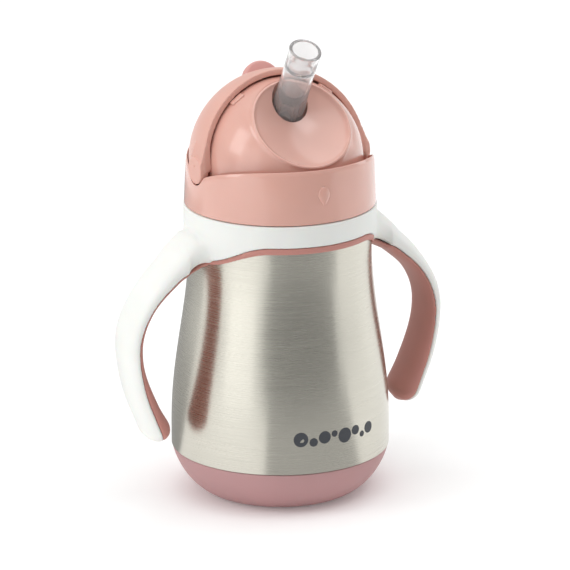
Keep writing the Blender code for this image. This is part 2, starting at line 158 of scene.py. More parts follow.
def skin(sections: Sequence[Sequence[Vector]], endless: bool = False) -> bmesh.types.BMesh:
    """Bridge closed sections into one solid, with filled ends or, where endless, back to the first."""
    bm = bmesh.new()
    loops = []
    for section in sections:
        verts = [bm.verts.new(point) for point in section]
        loops.append([bm.edges.new((a, b)) for a, b in zip(verts, verts[1:] + verts[:1])])
    for loop, following in zip(loops, loops[1:] + (loops[:1] if endless else [])):
        bmesh.ops.bridge_loops(bm, edges=loop + following)
    if not endless:
        bmesh.ops.holes_fill(bm, edges=[e for e in bm.edges if e.is_boundary], sides=0)
    bmesh.ops.recalc_face_normals(bm, faces=bm.faces)
    return bm


def thread(section: Sequence[tuple[float, float]], low: float, turns: float) -> bmesh.types.BMesh:
    """Sweep a section of (radius, height) up a helix that starts at a height, all in millimetres."""
    bm = bmesh.new()
    bm.faces.new([bm.verts.new((r * MM, 0, (low + z) * MM)) for r, z in section])
    steps = int(FINE_STEPS * turns)
    bmesh.ops.spin(bm, geom=bm.verts[:] + bm.edges[:] + bm.faces[:], cent=(0, 0, 0), axis=(0, 0, 1),
                   dvec=(0, 0, PITCH * turns / steps * MM), angle=math.tau * turns, steps=steps)
    bmesh.ops.remove_doubles(bm, verts=bm.verts, dist=0.001 * MM)
    bmesh.ops.recalc_face_normals(bm, faces=bm.faces)
    return bm


def sphere(radius: float, at: Vector, turn: Matrix | None = None, steps: int = 96) -> bmesh.types.BMesh:
    """A ball of a radius in millimetres, with its poles on its own Z."""
    bm = bmesh.new()
    bmesh.ops.create_uvsphere(bm, u_segments=steps, v_segments=steps // 2, radius=radius * MM)
    bm.transform(Matrix.Translation(at) @ (turn or Matrix.Identity(4)))
    return bm


def rod(radius: float, low: float, high: float, place: Matrix, steps: int = SMALL_STEPS) -> bmesh.types.BMesh:
    """A cylinder from low to high along its own axis, in millimetres, set down by place."""
    bm = bmesh.new()
    bmesh.ops.create_cone(bm, cap_ends=True, segments=steps, radius1=radius * MM, radius2=radius * MM,
                          depth=(high - low) * MM)
    bm.transform(place @ Matrix.Translation((0, 0, (low + high) / 2 * MM)))
    return bm


def block(low: Sequence[float], high: Sequence[float]) -> bmesh.types.BMesh:
    """A box between two corners in metres."""
    bm = bmesh.new()
    bmesh.ops.create_cube(bm, size=1)
    size = Vector(high) - Vector(low)
    bm.transform(Matrix.Translation((Vector(low) + Vector(high)) / 2) @ Matrix.Diagonal((*size, 1)))
    return bm


def bend(bm: bmesh.types.BMesh, rule: Bend) -> bmesh.types.BMesh:
    """Move each point of a mesh by a rule."""
    for vert in bm.verts:
        vert.co = rule(vert.co.copy())
    return bm


def raw(name: str, bm: bmesh.types.BMesh, sharp: float = 35.0) -> bpy.types.Object:
    """Turn a bmesh into a linked object, smooth but for its sharp edges."""
    mesh = bpy.data.meshes.new(name)
    bm.to_mesh(mesh)
    bm.free()
    mesh.shade_smooth()
    mesh.set_sharp_from_angle(angle=math.radians(sharp))
    obj = bpy.data.objects.new(name, mesh)
    bpy.context.scene.collection.objects.link(obj)
    return obj


def settle(obj: bpy.types.Object, sharp: float = 35.0) -> bpy.types.Object:
    """Apply an object's modifiers to its mesh."""
    bpy.context.view_layer.update()
    done = obj.evaluated_get(bpy.context.evaluated_depsgraph_get())
    mesh = bpy.data.meshes.new_from_object(done)
    obj.modifiers.clear()
    obj.data = mesh
    mesh.shade_smooth()
    mesh.set_sharp_from_angle(angle=math.radians(sharp))
    return obj


def combine(obj: bpy.types.Object, tools: Iterable[bmesh.types.BMesh], operation: str = "DIFFERENCE",
            sharp: float = 35.0) -> bpy.types.Object:
    """Cut an object by tools, or join them on, and apply the result."""
    used = []
    for bm in tools:
        tool = raw(obj.name + "_tool", bm)
        step = obj.modifiers.new("tool", "BOOLEAN")
        step.operation, step.solver, step.object = operation, "EXACT", tool
        used.append(tool)
    settle(obj, sharp)
    for tool in used:
        bpy.data.objects.remove(tool)
    return obj


def melt(obj: bpy.types.Object, voxel: float, rounds: int) -> bpy.types.Object:
    """Blend joined shapes into one flowing surface: an even remesh, then gentle smoothing.

    Args:
        obj: The piece, as overlapping closed shells.
        voxel: Size of the even mesh, in millimetres.
        rounds: How many times each point moves towards its neighbours.

    Returns:
        The same object.
    """
    step = obj.modifiers.new("even", "REMESH")
    step.mode, step.voxel_size, step.use_smooth_shade = "VOXEL", voxel * MM, True
    relax = obj.modifiers.new("relax", "SMOOTH")
    relax.factor, relax.iterations = 0.5, rounds
    return settle(obj, 180.0)


def flow(obj: bpy.types.Object, chosen: Callable[[Vector], bool], rounds: int) -> bpy.types.Object:
    """Let a chosen zone of a surface settle into a smooth fillet.

    Args:
        obj: The piece.
        chosen: Whether a point, in metres, is free to move.
        rounds: How many times each free point moves towards its neighbours.

    Returns:
        The same object.
    """
    bm = bmesh.new()
    bm.from_mesh(obj.data)
    verts = [vert for vert in bm.verts if chosen(vert.co)]
    for _ in range(rounds):
        bmesh.ops.smooth_vert(bm, verts=verts, factor=0.5, use_axis_x=True, use_axis_y=True, use_axis_z=True)
    bm.to_mesh(obj.data)
    bm.free()
    return obj


def soften(obj: bpy.types.Object, width: float, segments: int = 3, angle: float = 35.0) -> bpy.types.Object:
    """Round a piece's sharp edges by a width in millimetres."""
    step = obj.modifiers.new("round", "BEVEL")
    step.width, step.segments, step.limit_method = width * MM, segments, "ANGLE"
    step.angle_limit = math.radians(angle)
    step.harden_normals = False
    return settle(obj)


# Finishes


class Nodes:
    """Lays out one material's nodes around its Principled shader."""

    def __init__(self, name: str) -> None:
        """Start a material with that name."""
        self.material = bpy.data.materials.new(name)
        self.material.use_nodes = True
        self.tree = self.material.node_tree
        self.shader = self.tree.nodes["Principled BSDF"]

    def add(self, kind: str, **settings: object) -> bpy.types.Node:
        """Add a node and set its inputs, given as words, or its own properties."""
        node = self.tree.nodes.new(kind)
        for name, value in settings.items():
            label = name.replace("_", " ").title()
            if label in node.inputs:
                node.inputs[label].default_value = value
            else:
                setattr(node, name, value)
        return node

    def link(self, start: bpy.types.NodeSocket, end: bpy.types.NodeSocket) -> None:
        """Join two sockets."""
        self.tree.links.new(start, end)

    def place(self, scale: Sequence[float]) -> bpy.types.NodeSocket:
        """Object coordinates, stretched by a scale for each axis."""
        coords = self.add("ShaderNodeTexCoord")
        mapping = self.add("ShaderNodeMapping")
        mapping.inputs["Scale"].default_value = scale
        self.link(coords.outputs["Object"], mapping.inputs["Vector"])
        return mapping.outputs["Vector"]

    def noise(self, scale: Sequence[float], detail: float = 3.0, rough: float = 0.5) -> bpy.types.NodeSocket:
        """Noise from 0 to 1, with features per metre along each axis."""
        node = self.add("ShaderNodeTexNoise", scale=1.0, detail=detail, roughness=rough)
        self.link(self.place(scale), node.inputs["Vector"])
        return node.outputs["Fac"]

    def spread(self, value: bpy.types.NodeSocket, low: float, high: float) -> bpy.types.NodeSocket:
        """Stretch a value from its middle range to a low and a high."""
        node = self.add("ShaderNodeMapRange")
        node.inputs["From Min"].default_value = 0.3
        node.inputs["From Max"].default_value = 0.7
        node.inputs["To Min"].default_value = low
        node.inputs["To Max"].default_value = high
        self.link(value, node.inputs["Value"])
        return node.outputs["Result"]

    def tint(self, value: bpy.types.NodeSocket, first: Sequence[float], second: Sequence[float]) -> None:
        """Let the base colour swing between two colours."""
        ramp = self.add("ShaderNodeValToRGB")
        ramp.color_ramp.elements[0].position, ramp.color_ramp.elements[1].position = 0.32, 0.68
        ramp.color_ramp.elements[0].color, ramp.color_ramp.elements[1].color = (*first, 1), (*second, 1)
        self.link(value, ramp.inputs["Fac"])
        self.link(ramp.outputs["Color"], self.shader.inputs["Base Color"])

    def relief(self, layers: Sequence[tuple[bpy.types.NodeSocket, float]]) -> None:
        """Stack bumps, each with its height in millimetres."""
        last = None
        for height, depth in layers:
            bump = self.add("ShaderNodeBump", strength=1.0, distance=depth * MM)
            self.link(height, bump.inputs["Height"])
            if last:
                self.link(last, bump.inputs["Normal"])
            last = bump.outputs["Normal"]
        self.link(last, self.shader.inputs["Normal"])

    def set(self, **values: float | Sequence[float]) -> None:
        """Set constants on the shader's own sockets."""
        for name, value in values.items():
            self.shader.inputs[name.replace("_", " ").title().replace("Ior", "IOR")].default_value = value


def linear(colour: Sequence[float], gain: float = 1.0) -> tuple[float, ...]:
    """Turn an sRGB colour in 0 to 255 into linear light, brightened by a gain."""
    shares = [c / 255 for c in colour]
    return tuple(gain * (c / 12.92 if c <= 0.04045 else ((c + 0.055) / 1.055) ** 2.4) for c in shares)


@dataclass(frozen=True)
class MouldedPlastic:
    """Satin injection-moulded plastic: a faint grain, with slow drifts in tone and gloss."""

    name: str
    colour: tuple[float, float, float]
    gloss: float  # roughness of the shader
    grain: float = 0.004  # millimetres
    coat: float = 0.0
    sheen: float = 0.0
    glow: float = 0.06  # how far light bleeds inside

    def build(self) -> bpy.types.Material:
        """Make the material."""
        nodes = Nodes(self.name)
        drift = nodes.noise((28, 28, 40), 2.0)
        nodes.tint(drift, linear(self.colour, 0.965), linear(self.colour, 1.035))
        fine = nodes.noise((2600, 2600, 2600), 2.0, 0.6)
        slow = nodes.noise((180, 180, 240), 3.0)
        nodes.relief([(slow, self.grain * 0.1), (fine, self.grain * 0.3)])
        gloss = nodes.spread(drift, self.gloss - 0.015, self.gloss + 0.02)
        nodes.link(gloss, nodes.shader.inputs["Roughness"])
        nodes.set(ior=1.49, coat_weight=self.coat, coat_roughness=0.12, sheen_weight=self.sheen,
                  sheen_roughness=0.4, subsurface_weight=self.glow, subsurface_scale=0.002)
        return nodes.material


@dataclass(frozen=True)
class BrushedSteel:
    """Steel brushed round its axis: hair lines that run along the circumference."""

    name: str
    colour: tuple[float, float, float]
    gloss: float
    line: float = 0.0015  # depth of the hair lines in millimetres
    aniso: float = 0.55

    def build(self) -> bpy.types.Material:
        """Make the material."""
        nodes = Nodes(self.name)
        hair = nodes.noise((60, 60, 14000), 2.0, 0.7)
        streak = nodes.noise((24, 24, 5200), 3.0, 0.6)
        cloud = nodes.noise((22, 22, 30), 2.0)
        nodes.tint(streak, linear(self.colour, 0.93), linear(self.colour, 1.05))
        nodes.relief([(streak, self.line * 1.6), (hair, self.line)])
        blend = nodes.add("ShaderNodeMath", operation="ADD")
        nodes.link(nodes.spread(streak, self.gloss - 0.04, self.gloss + 0.05), blend.inputs[0])
        nodes.link(nodes.spread(cloud, -0.02, 0.03), blend.inputs[1])
        nodes.link(blend.outputs["Value"], nodes.shader.inputs["Roughness"])
        tangent = nodes.add("ShaderNodeTangent", direction_type="RADIAL", axis="Z")
        nodes.link(tangent.outputs["Tangent"], nodes.shader.inputs["Tangent"])
        quarter_turn = 0.25  # so that highlights spread across the hair lines
        nodes.set(metallic=1.0, anisotropic=self.aniso, anisotropic_rotation=quarter_turn)
        return nodes.material


@dataclass(frozen=True)
class ClearSilicone:
    """Clear soft silicone: a glassy body whose surface is faintly uneven."""

    name: str
    colour: tuple[float, float, float]
    gloss: float
    clear: float = 1.0
    wave: float = 0.01  # millimetres

    def build(self) -> bpy.types.Material:
        """Make the material."""
        nodes = Nodes(self.name)
        slow = nodes.noise((160, 160, 90), 2.0)
        fine = nodes.noise((900, 900, 700), 2.0)
        nodes.tint(slow, linear(self.colour, 0.99), linear(self.colour, 1.0))
        nodes.relief([(slow, self.wave), (fine, self.wave * 0.12)])
        nodes.link(nodes.spread(fine, self.gloss * 0.8, self.gloss * 1.3), nodes.shader.inputs["Roughness"])
        nodes.set(ior=1.41, transmission_weight=self.clear)
        return nodes.material


@dataclass(frozen=True)
class PrintedInk:
    """Flat dark ink, screen printed, with a little speckle."""

    name: str
    colour: tuple[float, float, float]

    def build(self) -> bpy.types.Material:
        """Make the material."""
        nodes = Nodes(self.name)
        speckle = nodes.noise((3500, 3500, 3500), 2.0, 0.7)
        nodes.tint(speckle, linear(self.colour, 0.85), linear(self.colour, 1.2))
        nodes.relief([(speckle, 0.003)])
        nodes.link(nodes.spread(speckle, 0.42, 0.58), nodes.shader.inputs["Roughness"])
        return nodes.material


@dataclass(frozen=True)
class Palette:
    """The cup's finishes."""

    pink: bpy.types.Material
    hood: bpy.types.Material
    tab: bpy.types.Material
    mauve: bpy.types.Material
    white: bpy.types.Material
    grip: bpy.types.Material
    steel: bpy.types.Material
    bright: bpy.types.Material
    clear: bpy.types.Material
    milky: bpy.types.Material
    ink: bpy.types.Material


def mix_palette() -> Palette:
    """Make every finish once."""
    return Palette(
        pink=MouldedPlastic("satin_pink", (222, 170, 156), 0.24, coat=0.7).build(),
        hood=MouldedPlastic("satin_pink_hood", (223, 172, 158), 0.34).build(),
        tab=MouldedPlastic("satin_mauve_tab", (214, 158, 152), 0.45).build(),
        mauve=MouldedPlastic("matt_mauve", (186, 143, 143), 0.55, 0.006).build(),
        white=MouldedPlastic("satin_white", (238, 239, 235), 0.42, 0.003, glow=0.12).build(),
        grip=MouldedPlastic("soft_touch_rose", (194, 134, 124), 0.62, 0.01, sheen=0.12).build(),
        steel=BrushedSteel("brushed_steel", (208, 205, 194), 0.25).build(),
        bright=BrushedSteel("drawn_steel", (214, 212, 206), 0.2, 0.0015, 0.3).build(),
        clear=ClearSilicone("clear_silicone", (255, 254, 254), 0.04, 0.84, 0.006).build(),
        milky=ClearSilicone("milky_silicone", (236, 234, 229), 0.35, 0.35).build(),
        ink=PrintedInk("graphite_ink", (66, 69, 75)).build(),
    )


def finish(obj: bpy.types.Object, material: bpy.types.Material, body: Body | None, slot: Slot,
           *nodes: str) -> bpy.types.Object:
    """Dress a piece, let it ride on a body, and hide the CAD nodes that it stands for.

    Args:
        obj: The finished piece.
        material: Its finish.
        body: The frame's body that it moves with, or None for a piece that is left on no body, though it
            bends between two.
        slot: The record's slot of its finish; not used.
        *nodes: The CAD nodes that it replaces.

    Returns:
        The piece.
    """
    obj.data.materials.clear()
    obj.data.materials.append(material)
    if body:
        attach(obj, body.value)
    if nodes:
        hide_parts(*nodes)
    LOG.info("%s: %d faces", obj.name, len(obj.data.polygons))
    return obj


# Sub-assemblies


@dataclass
class SteelCup:
    """Double-walled cup: base pad, brushed outer wall, liner, and the print on its front."""

    palette: Palette
    belly: float = 43.0
    belly_z: float = 27.0
    waist: float = 35.7
    waist_z: float = 102.0
    wall: float = 0.8
    pad_top: float = 18.0
    pad_floor: float = 2.2
    foot: float = 28.0
    foot_z: float = 20.0
    foot_power: float = 1.6
    shoulder: float = 112.3
    neck: float = 33.3
    neck_top: float = 122.4
    thread: float = 34.15
    liner_floor: float = 7.0

    def radius(self, z: float, belly: float | None = None, waist: float | None = None) -> float:
        """Radius of the body at a height, or of another wall that swings the same way."""
        belly, waist = belly or self.belly, waist or self.waist
        share = min(max((z - self.belly_z) / (self.waist_z - self.belly_z), 0.0), 1.0)
        return waist + (belly - waist) * (0.5 + 0.5 * math.cos(math.pi * share))

    def side(self, high: float, low: float, inset: float = 0.0, count: int = 32,
             **walls: float) -> list[Corner]:
        """The body's side in section, from high to low."""
        heights = [high + (low - high) * i / (count - 1) for i in range(count)]
        return [(self.radius(z, **walls) - inset, z, 0.0) for z in heights]

    def sole(self, inset: float, top: float, rim: float, count: int = 18) -> list[Corner]:
        """The foot's curve in section, from the height top down to the radius rim."""
        wide, tall = self.belly - self.foot - inset, self.foot_z - inset
        power = self.foot_power
        start = math.asin(((self.foot_z - top) / tall) ** (power / 2))
        end = math.acos((max(rim - self.foot, 0.0) / wide) ** (power / 2))
        turns = [start + (end - start) * i / (count - 1) for i in range(count)]
        return [(self.foot + wide * max(math.cos(a), 0.0) ** (2 / power),
                 self.foot_z - tall * math.sin(a) ** (2 / power), 0.0) for a in turns]

    def base_pad(self) -> None:
        """Moulded pad round the foot, with a softened top edge and a shallow ring underneath."""
        inside = self.sole(self.pad_floor, self.pad_top, self.foot)[::-1]
        outside = self.sole(0.0, self.pad_top, self.foot)
        outside[0] = (*outside[0][:2], 0.35)
        inside[-1] = (*inside[-1][:2], 0.2)
        ring = [(self.foot - 4, 0, 0.2), (self.foot - 4.6, 0.5, 0.2), (self.foot - 6.4, 0.5, 0.2),
                (self.foot - 7, 0, 0.2)]
        outline = [(0, self.pad_floor, 0), *inside, *outside, *ring, (0, 0, 0)]
        pad = raw("base_pad_moulding", lathe(rounded(outline, closed=False)))
        finish(pad, self.palette.mauve, Body.CUP, Slot.MAUVE, "base_pad")

    def outer_wall(self) -> None:
        """Brushed wall from the foot to the threaded neck."""
        step, low = self.pad_top + 0.3, self.pad_floor + 0.3
        outside = [(self.neck, self.neck_top, 0.3), (self.neck, self.shoulder, 0.4),
                   (self.waist, self.shoulder, 1.4), *self.side(self.waist_z, step),
                   *self.sole(low, step, 30.0)]
        lining = [*self.sole(low + self.wall, step + self.wall, 30.0)[::-1],
                  *self.side(self.waist_z, step + self.wall, self.wall)[::-1],
                  (self.waist - self.wall, self.shoulder - 2 * self.wall, 0),
                  (self.neck - self.wall, self.shoulder - self.wall, 0),
                  (self.neck - self.wall, self.neck_top, 0.2)]
        wall = raw("brushed_wall", lathe(rounded(outside + lining)))
        finish(wall, self.palette.steel, Body.CUP, Slot.BRUSHED, "outer_shell")

    def neck_thread(self) -> None:
        """Rolled thread: a rounded ridge that climbs once and a half round the neck."""
        root, crest = self.neck - 0.25, self.thread - 0.25
        section = [(root, -0.8), (crest, -0.3), (crest, 0.3), (root, 0.8)]
        ridge = raw("neck_thread", thread(section, self.shoulder + 3.2, 1.5))
        finish(ridge, self.palette.steel, Body.CUP, Slot.BRUSHED)

    def liner(self) -> None:
        """Drawn inner wall with a rolled lip."""
        belly, waist, bend_r = self.belly - 4.0, 31.8, 12.0
        mouth, lip = self.neck - self.wall - 0.3, self.neck_top + 0.3
        walls = {"belly": belly, "waist": waist}
        bottom = (belly - bend_r, self.liner_floor + bend_r)
        outside = [(mouth + 1.4, lip + 0.7, 0.35), (mouth + 1.4, lip, 0.2), (mouth, lip, 0),
                   (mouth, self.shoulder - 1, 0), *self.side(self.waist_z, bottom[1], **walls),
                   *arc(bottom, bend_r, 0, -90, 12)[1:]]
        inside = [*arc(bottom, bend_r - self.wall, -90, 0, 12),
                  *self.side(self.waist_z, bottom[1], self.wall, **walls)[-2::-1],
                  (mouth - self.wall, self.shoulder - 1, 0), (mouth - self.wall, lip + 0.7, 0.35)]
        floor = self.liner_floor
        outline = [(0, floor + self.wall, 0), *inside, *outside, (0, floor, 0)]
        liner = raw("drawn_liner", lathe(rounded(outline, closed=False)))
        finish(liner, self.palette.bright, Body.CUP, Slot.BRIGHT, "inner_liner")

    def print_dots(self) -> None:
        """A printed row of plain bubbles on the front, laid on the steel."""
        across, height, lift = -15.0, 32.0, 0.04
        bubbles = ((2.9, 0.4), (1.7, -1.0), (2.5, 0.5), (1.3, 1.4), (3.0, -0.1), (1.9, 0.9), (1.2, -1.5),
                   (2.3, 0.2))
        gap = 0.45
        bm = bmesh.new()
        x = across
        for size, offset in bubbles:
            x += size
            disc = bmesh.ops.create_circle(bm, cap_ends=True, segments=40, radius=size * MM)["verts"]
            faces = list({face for vert in disc for face in vert.link_faces})
            bmesh.ops.inset_region(bm, faces=faces, thickness=size * 0.45 * MM)
            near = {v for f in faces for v in f.verts} | set(disc)
            bmesh.ops.translate(bm, verts=list(near), vec=Vector((x, offset, 0)) * MM)
            x += size + gap
        bmesh.ops.triangulate(bm, faces=[f for f in bm.faces if len(f.verts) > 4])

        def onto_wall(point: Vector) -> Vector:
            z = height + point.y / MM
            r = self.radius(z) + lift
            turn = point.x / MM / r
            return Vector((r * math.sin(turn), -r * math.cos(turn), z)) * MM

        bend(bm, onto_wall)
        bmesh.ops.recalc_face_normals(bm, faces=bm.faces)
        ink = raw("bubble_print", bm)
        film = ink.modifiers.new("film", "SOLIDIFY")
        film.thickness, film.offset = 0.03 * MM, 0.0
        settle(ink)
        finish(ink, self.palette.ink, Body.CUP, Slot.MAUVE)

    def build(self) -> None:
        """Build every piece of the cup."""
        self.base_pad()
        self.outer_wall()
        self.neck_thread()
        self.liner()
        self.print_dots()


@dataclass(frozen=True)
class Station:
    """The handle's section at a share of its length; seam is a share of half its thickness."""

    share: float
    thick: float
    wide: float
    seam: float


@dataclass
class HandleRing:
    """White ring with its two handles, and the soft rose band and grips moulded onto it."""

    palette: Palette
    outer: float = 37.8
    top: float = 116.4
    bore: float = 36.1
    low: float = 107.7
    dip: float = 8.4
    lip: float = 2.8
    ledge: float = 112.6
    ledge_bore: float = 34.5
    power: float = 2.15
    square: float = 0.3  # how much squarer the section is at its root
    tip: float = 0.91
    root: tuple[tuple[float, float], ...] = ((36.0, 103.6), (46.5, 96.6), (65.5, 84.0), (65.5, 66.0))
    drop: tuple[tuple[float, float], ...] = ((65.5, 66.0), (65.5, 52.0), (58.5, 38.5), (52.5, 27.0))
    stations: tuple[Station, ...] = (
        Station(0.00, 16.2, 24.8, -0.62),
        Station(0.09, 12.4, 22.4, -0.48),
        Station(0.18, 9.6, 20.6, -0.38),
        Station(0.34, 7.6, 19.6, -0.28),
        Station(0.55, 7.3, 19.4, -0.14),
        Station(0.80, 9.2, 19.8, 0.06),
        Station(1.00, 11.2, 20.2, 0.22),
    )

    def path(self, t: float) -> tuple[Vector, Vector]:
        """A point of the handle's centre line and its direction, both in the X, Z plane."""
        points, t = (self.root, 2 * t) if t < 0.5 else (self.drop, 2 * t - 1)
        a, b, c, d = (Vector(point) for point in points)
        s = 1 - t
        spot = s ** 3 * a + 3 * s * s * t * b + 3 * s * t * t * c + t ** 3 * d
        return spot, (s * s * (b - a) + 2 * s * t * (c - b) + t * t * (d - c)).normalized()

    def station(self, t: float) -> tuple[float, float, float]:
        """Thickness, width and seam at a share of the length."""
        for a, b in zip(self.stations, self.stations[1:]):
            if t <= b.share:
                k = ease((t - a.share) / (b.share - a.share))
                return (a.thick + (b.thick - a.thick) * k, a.wide + (b.wide - a.wide) * k,
                        a.seam + (b.seam - a.seam) * k)
        last = self.stations[-1]
        return last.thick, last.wide, last.seam

    def section(self, t: float, side: int, outer: bool, count: int = 36) -> list[Vector]:
        """Half of the rounded section: the white outside, or the soft inside.

        Args:
            t: Share of the handle's length.
            side: -1 for the left handle, 1 for the right one.
            outer: Whether it is the white half.
            count: Points in the section.

        Returns:
            The section's points in metres.
        """
        spot, along = self.path(t)
        outward = Vector((-along.y, along.x))
        thick, wide, seam = self.station(t)
        if t > self.tip:
            shrink = math.sqrt(max(1 - ((t - self.tip) / (1 - self.tip)) ** 2, 0.02))
            thick, wide = thick * shrink, wide * shrink
        half_t, half_w = thick / 2, wide / 2
        power = self.power + self.square * max(1 - t / 0.25, 0) ** 2
        cut = seam + (0.06 if outer else -0.06) / half_t
        turn = math.acos(math.copysign(abs(cut) ** (power / 2), cut))
        first, last = (-turn, turn) if outer else (turn, math.tau - turn)
        points = []
        for i in range(count):
            a = first + (last - first) * i / (count - 1)
            n = math.copysign(abs(math.cos(a)) ** (2 / power), math.cos(a)) * half_t
            y = math.copysign(abs(math.sin(a)) ** (2 / power), math.sin(a)) * half_w
            x, z = spot + outward * n
            points.append(Vector((side * x, y, z)) * MM)
        return points

    def handle(self, side: int, outer: bool) -> bmesh.types.BMesh:
        """One half of a handle, from inside the ring's wall to the tip."""
        shares = [(i / 60) ** 1.1 for i in range(61)]
        return skin([self.section(t, side, outer) for t in shares])

    def dipped(self, low: float, thinning: float) -> Bend:
        """A rule that lowers an edge above the handles."""

        def rule(point: Vector) -> Vector:
            if point.z <= (low + 0.5) * MM:
                drop = self.dip - thinning * (low - point.z / MM) / self.lip
                point.z -= drop * MM * ease((from_front(point) - 33) / 45)
            return point

        return rule

    def build(self) -> None:
        """Build the white moulding and the soft band with its grips."""
        ring = [(self.outer, self.top, 0.5), (self.outer, self.low, 0.2), (self.bore, self.low, 0.1),
                (self.bore, self.ledge, 0.3), (self.ledge_bore, self.ledge, 0.2),
                (self.ledge_bore, self.top, 0.3)]
        white = raw("handle_moulding", bend(lathe(rounded(ring)), self.dipped(self.low, 0.0)))
        combine(white, [self.handle(-1, True), self.handle(1, True)], "UNION")
        upright = Matrix.Identity(4)
        combine(white, [rod(self.bore, self.low - 20, self.ledge, upright, FINE_STEPS),
                        rod(self.ledge_bore, self.low - 20, self.top + 4, upright, FINE_STEPS)])
        melt(white, 0.5, 4)
        flow(white, lambda p: 26 * MM < abs(p.x) < 44 * MM and 86 * MM < p.z < 115.4 * MM
             and p.xy.length > (self.outer - 0.35) * MM, 220)
        finish(white, self.palette.white, Body.HANDLES, Slot.WHITE,
               "handle_ring", "handle_left", "handle_right")

        top = self.low - 0.12
        band = [(self.outer, top, 0.1), (self.outer - 0.15, top - self.lip + 0.8, 0.3),
                (self.outer - 0.9, top - self.lip + 0.2, 0.5), (self.bore, top - self.lip + 0.2, 0.2),
                (self.bore, top, 0.1)]
        soft = raw("soft_grips", bend(lathe(rounded(band)), self.dipped(top, 1.0)))
        combine(soft, [self.handle(-1, False), self.handle(1, False)], "UNION")
        combine(soft, [rod(self.bore, self.low - 20, self.top + 4, upright, FINE_STEPS)])
        melt(soft, 0.45, 2)
        flow(soft, lambda p: 28 * MM < abs(p.x) < 44 * MM and 84 * MM < p.z < 105 * MM
             and p.xy.length > (self.bore + 0.5) * MM, 180)
        finish(soft, self.palette.grip, Body.HANDLES, Slot.GRIP, "lip_band", "grip_left", "grip_right")


